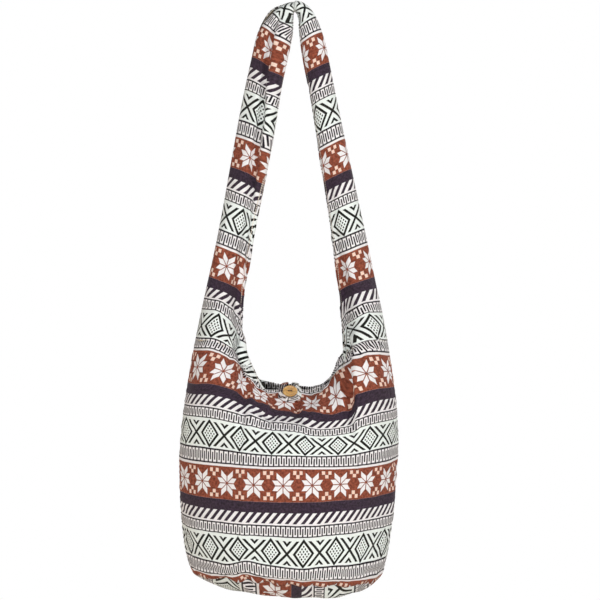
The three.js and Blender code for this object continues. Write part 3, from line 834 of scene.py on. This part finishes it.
def finish_cloth(tree, shader, colour, height, rough_low, rough_high, place):
    """Wear, soil, painted shade along the base seam and the side seams, and a matt, fibrous finish.
    """
    soil = noise(tree, place, 0.018, 4.0)
    worn = soil.math("MULTIPLY_ADD", 2.2, -0.75, clamp=True)
    colour = mixed(tree, worn * 0.05, colour, linear(150, 132, 116))
    # Painted shade: cloth within about 14 mm of the base seam is darkened towards a warm brown.
    base = attribute(tree, "base")
    low = base.under(7.0, 14.0) * 0.14
    colour = mixed(tree, low, colour, linear(92, 74, 60))
    # Painted shade: cloth within about 3 mm of the side seams is darkened, standing in for the shaded
    # seam groove.
    seam = attribute(tree, "side").under(1.6, 2.4) * 0.35
    colour = mixed(tree, seam, colour, linear(60, 44, 38))
    rim, along = attribute(tree, "rim"), attribute(tree, "along")
    stitch = abs(rim - 3.4).under(0.45, 0.3).both(along.near(3.4).under(1.25, 0.3))
    colour = mixed(tree, stitch * 0.85, colour, linear(226, 214, 200))
    hem = rim.under(6.5, 1.2) * 0.5
    sunk = (abs(rim - 3.4).under(1.0, 1.2) * -0.7) + stitch * 1.2
    relief = height + hem + sunk
    bump = tree.nodes.new("ShaderNodeBump")
    bump.inputs["Strength"].default_value = 0.55
    bump.inputs["Distance"].default_value = 0.00035
    tree.links.new(relief.socket, bump.inputs["Height"])
    tree.links.new(bump.outputs["Normal"], shader.inputs["Normal"])
    tree.links.new(colour, shader.inputs["Base Color"])
    rough = soil * (rough_high - rough_low) + rough_low
    tree.links.new(rough.socket, shader.inputs["Roughness"])
    shader.inputs["Specular IOR Level"].default_value = 0.14
    shader.inputs["Sheen Weight"].default_value = 0.03
    shader.inputs["Sheen Roughness"].default_value = 0.6


def print_node(tree, place):
    node = tree.nodes.new("ShaderNodeGroup")
    node.node_tree = PRINT
    tree.links.new(place, node.inputs["Cloth"])
    return node


def printed_canvas(name):
    material, tree, shader = bare_material(name)
    place = cloth_place(tree)
    node = print_node(tree, place)
    height = Value(tree, node.outputs["Height"])
    finish_cloth(tree, shader, node.outputs["Color"], height, 0.78, 0.95, place)
    return material


def lining_cotton(name):
    """Unbleached cotton with a facing of the printed cloth along the rim."""
    material, tree, shader = bare_material(name)
    place = cloth_place(tree)
    node = print_node(tree, place)
    height = Value(tree, node.outputs["Height"])
    grain = noise(tree, place, 0.4, 3.0)
    plain = mixed(tree, grain, linear(196, 182, 158), linear(224, 213, 192))
    facing = attribute(tree, "rim").under(30.0, 0.5)
    colour = mixed(tree, facing, plain, node.outputs["Color"])
    finish_cloth(tree, shader, colour, height, 0.82, 0.96, place)
    return material


def shell_material(name):
    """Lacquered coconut shell: amber with dark, curved grain."""
    material, tree, shader = bare_material(name)
    place = tree.nodes.new("ShaderNodeTexCoord").outputs["Object"]
    cloud = noise(tree, place, 90.0, 4.0)
    wave = tree.nodes.new("ShaderNodeTexWave")
    wave.wave_type = "RINGS"
    wave.inputs["Scale"].default_value = 60.0
    wave.inputs["Distortion"].default_value = 7.0
    wave.inputs["Detail"].default_value = 3.0
    wave.inputs["Detail Scale"].default_value = 2.0
    tree.links.new(place, wave.inputs["Vector"])
    grain = Value(tree, wave.outputs["Fac"])
    colour = mixed(tree, cloud, linear(172, 108, 38), linear(244, 198, 108))
    colour = mixed(tree, grain * 0.38, colour, linear(104, 56, 20))
    tree.links.new(colour, shader.inputs["Base Color"])
    rough = cloud * 0.2 + 0.2
    tree.links.new(rough.socket, shader.inputs["Roughness"])
    shader.inputs["Coat Weight"].default_value = 0.8
    shader.inputs["Coat Roughness"].default_value = 0.12
    bump = tree.nodes.new("ShaderNodeBump")
    bump.inputs["Strength"].default_value = 0.25
    bump.inputs["Distance"].default_value = 0.0002
    tree.links.new((grain + cloud * 0.5).socket, bump.inputs["Height"])
    tree.links.new(bump.outputs["Normal"], shader.inputs["Normal"])
    return material


def thread_material(name):
    """Twisted cotton sewing thread."""
    material, tree, shader = bare_material(name)
    place = tree.nodes.new("ShaderNodeTexCoord").outputs["Object"]
    wave = tree.nodes.new("ShaderNodeTexWave")
    wave.bands_direction = "DIAGONAL"
    wave.inputs["Scale"].default_value = 900.0
    wave.inputs["Distortion"].default_value = 1.0
    tree.links.new(place, wave.inputs["Vector"])
    twist = Value(tree, wave.outputs["Fac"])
    fuzz = noise(tree, place, 2500.0, 2.0)
    colour = mixed(tree, twist, linear(70, 52, 44), linear(116, 92, 78))
    tree.links.new(colour, shader.inputs["Base Color"])
    tree.links.new((fuzz * 0.2 + 0.72).socket, shader.inputs["Roughness"])
    bump = tree.nodes.new("ShaderNodeBump")
    bump.inputs["Strength"].default_value = 0.6
    bump.inputs["Distance"].default_value = 0.0002
    tree.links.new((twist + fuzz * 0.4).socket, bump.inputs["Height"])
    tree.links.new(bump.outputs["Normal"], shader.inputs["Normal"])
    return material


canvas = printed_canvas("printed canvas")
cotton = lining_cotton("lining cotton")

front, back = panel(-1), panel(1)
front_panel = thick("front_cloth", front, CANVAS / 2, -CANVAS / 2, canvas)
back_panel = thick("back_cloth", back, CANVAS / 2, -CANVAS / 2, canvas)
deep = -CANVAS / 2 - SEAM
front_lining = thick("front_lining_cloth", front, deep, deep - LINING, cotton)
back_lining = thick("back_lining_cloth", back, deep, deep - LINING, cotton)


def base_sheet(start):
    """The base: an oval on the seam ring that sags to a flat middle. Its print lies a
    quarter turned."""
    ring = []
    for sheet, side, turned in (
        (front, -1, False),
        (front, 1, True),
        (back, 1, False),
        (back, -1, True),
    ):
        index = sheet["ids"][side][0]
        index = index[::-1] if turned else index
        ring.append(sheet["points"][index[:-1]])
    ring = np.concatenate(ring)
    ring[:, 1] = np.where(abs(ring[:, 1]) < 0.2, 0, ring[:, 1])
    centre = np.array([BASE_LOW, 0, BOTTOM_Z], float)
    steep = 2.5
    reach = np.concatenate([np.linspace(0, 1, 34)[:-1] ** 1.5, [0.97]])
    flat = ring - centre
    spoke = np.hypot(np.hypot(flat[:, 0], flat[:, 1]), flat[:, 2] * steep / (1 - BASE_FLAT))
    points, base = [], []
    for share in reach:
        r = lerp(start / spoke, 1.0, share)
        fall = 1 - np.maximum(0, 1 - r / (1 - BASE_FLAT)) ** steep
        q = lerp(ring, centre, r[:, None])
        q[:, 2] = lerp(ring[:, 2], BOTTOM_Z, fall)
        points.append(q)
        base.append(r * spoke)
    points = np.concatenate(points + [centre[None]])
    base = np.concatenate(base + [[100.0]])
    count = len(ring)
    k = np.arange(count)
    nxt = (k + 1) % count
    faces = []
    for r in range(len(reach) - 1):
        lo, hi = r * count, (r + 1) * count
        faces.append(np.stack([k + lo, k + hi, nxt + hi, nxt + lo], 1))
    last = (len(reach) - 1) * count
    middle = np.full(count // 2, len(points) - 1)
    a = last + np.arange(0, count, 2)
    faces.append(np.stack([a, middle, last + (np.arange(0, count, 2) + 2) % count, a + 1], 1))
    faces = np.concatenate(faces)
    n = vertex_normals(points, faces)
    if n[-1, 2] > 0:
        faces = faces[:, ::-1]
    lump = waves(points[:, 0], points[:, 1], 71, 7, 45, 110) * smoothstep(base, 0, 40)
    points[:, 2] += 1.2 * lump
    return {
        "points": points,
        "faces": faces,
        "u": points[:, 1] + 20.0,
        "w": -(points[:, 0] + 54.0),
        "rim": np.full(len(points), 60.0),
        "along": np.zeros(len(points)),
        "side": np.full(len(points), 60.0),
        "base": base,
    }


base_panel = thick("base_cloth", base_sheet(0.45), CANVAS / 2, -CANVAS / 2, canvas)
base_lining = thick("base_lining_cloth", base_sheet(3.0), deep, deep - LINING, cotton)

# The loop: a folded ribbon that lies on the cloth round the button and back over the slit.
BUTTON_ROW = RIM_ROW - BUTTON_INSET


def rim_reach(v, u):
    """How far from the centre the cut rim lies, on the side that u is on."""
    up = max(0, v - RIM_ROW)
    out_z = np.interp(v, SIDE_AT, SIDE[:, 1])
    cut = math.sqrt(1 - max(0, 1 - up / (RIGHT_NECKLINE if u >= 0 else LEFT_NECKLINE)) ** 2)
    return cut * np.interp(out_z - ARM_SLANT, EDGE[:, 1], EDGE[:, 0]) if up else 0


def rim_row_at(u):
    low, high = RIM_ROW, SIDE_LENGTH
    for _ in range(40):
        middle = (low + high) / 2
        if rim_reach(middle, u) < abs(u) and middle < RIM_ROW + NECKLINE:
            low = middle
        else:
            high = middle
    return low


def mouth_spot(u, s):
    def spot(v, facing):
        out_x = np.interp(v, SIDE_AT, SIDE[:, 0])
        g = min(1, (out_x - abs(u)) / (out_x - rim_reach(v, u)))
        return panel_at(v, g, 1 if u >= 0 else -1, facing)

    edge = rim_row_at(u)
    over = s - (edge - BUTTON_ROW)
    if over <= 0:
        return spot(edge + over, -1)
    if over >= MOUTH_SLIT:
        return spot(edge + MOUTH_SLIT - over, 1)
    return lerp(spot(edge, -1), spot(edge, 1), over / MOUTH_SLIT)


def mouth_normal(u, s):
    along = mouth_spot(u, s + 2) - mouth_spot(u, s - 2)
    across = mouth_spot(u + 2, s) - mouth_spot(u - 2, s)
    n = np.cross(across, along)
    return n / np.linalg.norm(n)


def loop_sheet():
    root = np.array([LOOP_ROOT, BUTTON_INSET + MOUTH_SLIT + LOOP_OVERLAP], float)
    far = np.linalg.norm(root)
    touch = math.atan2(root[1], root[0]) - math.acos(LOOP_RADIUS / far)
    turn = LOOP_RADIUS * np.array([math.cos(touch), math.sin(touch)])
    angle = np.linspace(touch, -math.pi - touch, 90)
    round_part = LOOP_RADIUS * np.stack([np.cos(angle), np.sin(angle)], 1)
    flip = np.array([-1, 1])
    route = joined(
        bezier(root, turn, steps=40), round_part, bezier(turn * flip, root * flip, steps=40)
    )
    at = lengths(route)
    steps = np.linspace(0, at[-1], 110)
    line = np.stack([np.interp(steps, at, route[:, k]) for k in (0, 1)], 1)
    t = np.gradient(line, axis=0)
    t /= np.linalg.norm(t, axis=1)[:, None]
    shares = np.linspace(-0.5, 0.5, 9)
    points, normals, u, w = [], [], [], []
    for k, p in enumerate(line):
        for share in shares:
            place = (p[0] - t[k, 1] * share * LOOP_WIDTH, p[1] + t[k, 0] * share * LOOP_WIDTH)
            n = mouth_normal(*place)
            crown = 0.5 * math.cos(share * math.pi) + 0.25 * math.sin(steps[k] / 3.1)
            points.append(mouth_spot(*place) + n * crown)
            normals.append(n)
            u.append(share * LOOP_WIDTH * 1.6)
            w.append(steps[k] * 0.8 - 140.0)
    n, m = len(line), len(shares)
    i = np.arange(n * m).reshape(n, m)
    quad = [i[:-1, :-1], i[1:, :-1], i[1:, 1:], i[:-1, 1:]]
    faces = np.stack(quad, -1).reshape(-1, 4)
    points = np.array(points)
    normals = np.array(normals)
    if (vertex_normals(points, faces) * normals).sum() < 0:
        faces = faces[:, ::-1]
    u, w = np.array(u), np.array(w)
    flat = np.full(len(points), 60.0)
    return {
        "points": points,
        "faces": faces,
        "u": u,
        "w": w,
        "rim": LOOP_WIDTH / 2 - abs(u) / 1.6 + 1.2,
        "along": w,
        "side": flat,
        "base": flat,
    }


under = CANVAS / 2 + LOOP_LIFT
loop = thick("loop_ribbon", loop_sheet(), under + LOOP_THICKNESS, under, canvas)

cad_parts["button"].data.materials[0] = shell_material("coconut shell")
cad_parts["button_thread"].data.materials[0] = thread_material("sewing thread")

for piece, node, slot in (
    (front_panel, "front_panel", "printed_canvas"),
    (back_panel, "back_panel", "printed_canvas"),
    (base_panel, "base_panel", "base_canvas"),
    (front_lining, "front_lining", "lining_cotton"),
    (back_lining, "back_lining", "lining_cotton"),
    (base_lining, "base_lining", "lining_cotton"),
    (loop, "button_loop", "loop_canvas"),
):
    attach(piece, "root")
    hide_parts(node)


# Stage: a pale floor below the hanging bag, and white all round for what looks at it.
def seen_ray(tree):
    path = tree.nodes.new("ShaderNodeLightPath")
    names = ("Is Camera Ray", "Is Glossy Ray", "Is Transmission Ray")
    camera, *others = [Value(tree, path.outputs[name]) for name in names]
    return camera.either(*others)


def stage_mesh(name, corners, colour, rough):
    mesh = bpy.data.meshes.new(name)
    mesh.from_pydata(corners, [], [(0, 1, 2, 3)])
    obj = bpy.data.objects.new(name, mesh)
    bpy.context.scene.collection.objects.link(obj)
    material, tree, shader = bare_material(name)
    shader.inputs["Base Color"].default_value = colour
    shader.inputs["Roughness"].default_value = rough
    shader.inputs["Emission Color"].default_value = colour
    place = tree.nodes.new("ShaderNodeTexCoord").outputs["Object"]
    far = tree.nodes.new("ShaderNodeVectorMath")
    far.operation = "LENGTH"
    tree.links.new(place, far.inputs[0])
    away = Value(tree, far.outputs["Value"]).math("MULTIPLY_ADD", 0.6, -1.1, clamp=True)
    white = seen_ray(tree) * (away + 0.6)
    tree.links.new(white.socket, shader.inputs["Emission Strength"])
    mesh.materials.append(material)
    return obj


FLOOR_Z = -1.5
stage_mesh(
    "floor",
    [(-4, -4, FLOOR_Z), (4, -4, FLOOR_Z), (4, 2.4, FLOOR_Z), (-4, 2.4, FLOOR_Z)],
    linear(232, 224, 212),
    0.8,
)


def area_light(name, place, target, size, power, colour):
    light = bpy.data.lights.new(name, "AREA")
    light.shape = "SQUARE"
    light.size = size
    light.energy = power
    light.color = colour
    obj = bpy.data.objects.new(name, light)
    obj.location = place
    aim = Vector(target) - Vector(place)
    obj.rotation_euler = aim.to_track_quat("-Z", "Y").to_euler()
    bpy.context.scene.collection.objects.link(obj)


area_light("key", (2.3, -2.4, 0.4), (0, 0, -0.45), 0.6, 51, (1.0, 1.0, 1.0))
area_light("front fill", (-0.9, -2.75, 0.1), (0, 0, -0.45), 1.6, 46, (1.0, 1.0, 1.0))
area_light("back fill", (1.9, 2.4, 0.9), (0, 0, -0.45), 1.4, 48, (1.0, 1.0, 1.0))
area_light("warm bounce", (-1.7, 0.2, -1.3), (0, 0, -0.6), 1.0, 5, (1.0, 0.74, 0.48))

world = bpy.data.worlds.new("studio")
bpy.context.scene.world = world
world.use_nodes = True
tree = world.node_tree
tree.nodes.clear()
ambient = tree.nodes.new("ShaderNodeBackground")
ambient.inputs["Color"].default_value = (1.0, 0.95, 0.89, 1)
ambient.inputs["Strength"].default_value = 0.15
seen = tree.nodes.new("ShaderNodeBackground")
seen.inputs["Color"].default_value = (1, 1, 1, 1)
seen.inputs["Strength"].default_value = 1.0
choose = tree.nodes.new("ShaderNodeMixShader")
tree.links.new(seen_ray(tree).socket, choose.inputs[0])
tree.links.new(ambient.outputs[0], choose.inputs[1])
tree.links.new(seen.outputs[0], choose.inputs[2])
output = tree.nodes.new("ShaderNodeOutputWorld")
tree.links.new(choose.outputs[0], output.inputs["Surface"])

camera = bpy.data.cameras.new("camera")
camera.lens = 76.0
camera.sensor_width = 36.0
camera_obj = bpy.data.objects.new("camera", camera)
camera_obj.location = (0.0075, -1.9, -0.433)
camera_obj.rotation_euler = (math.pi / 2, 0, 0)
bpy.context.scene.collection.objects.link(camera_obj)
bpy.context.scene.camera = camera_obj
bpy.context.scene.view_settings.view_transform = "Standard"

bpy.context.view_layer.update()
